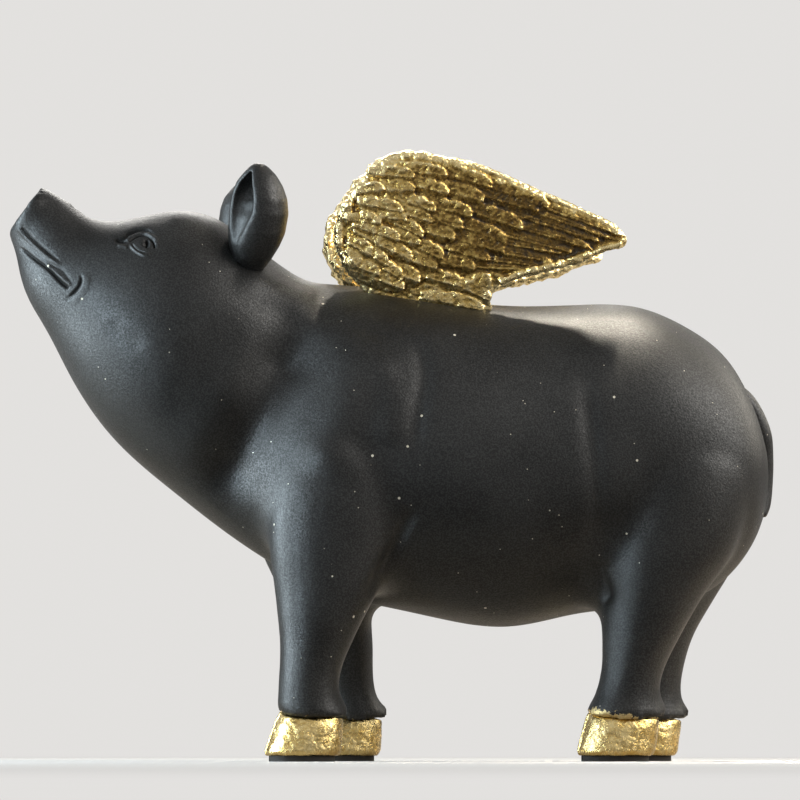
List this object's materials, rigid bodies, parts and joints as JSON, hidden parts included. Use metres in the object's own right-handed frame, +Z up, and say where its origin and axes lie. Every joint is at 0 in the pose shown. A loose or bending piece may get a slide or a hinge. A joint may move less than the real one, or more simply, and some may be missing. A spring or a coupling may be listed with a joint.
{
  "type": "winged pig figurine",
  "caption": "Standing cast pig ornament with raised head, set-in ears and tail, feathered gilded wings on its back, gilded cloven hooves and foot pads.",
  "frame": {"origin": "on the ground under the middle of the figure's bounding box", "axes": "+X from snout to tail, +Y towards the pig's right side, +Z up"},
  "size_m": [0.2426, 0.0834, 0.1904],
  "materials": {
    "black_paint": "satin black paint on cast resin",
    "gold_leaf": "crinkled gold leaf with brown patina on cast resin",
    "pad": "matt dark foot pad",
    "pin": "plain steel dowel"
  },
  "bodies": {
    "root": {"body_casting": "black_paint", "left_ear": "black_paint", "right_ear": "black_paint", "tail": "black_paint", "left_wing": "gold_leaf", "right_wing": "gold_leaf", "left_wing_pins": "pin", "right_wing_pins": "pin", "front_left_hoof": "gold_leaf", "front_right_hoof": "gold_leaf", "hind_left_hoof": "gold_leaf", "hind_right_hoof": "gold_leaf", "front_left_pad": "pad", "front_right_pad": "pad", "hind_left_pad": "pad", "hind_right_pad": "pad"}
  },
  "joints": []
}
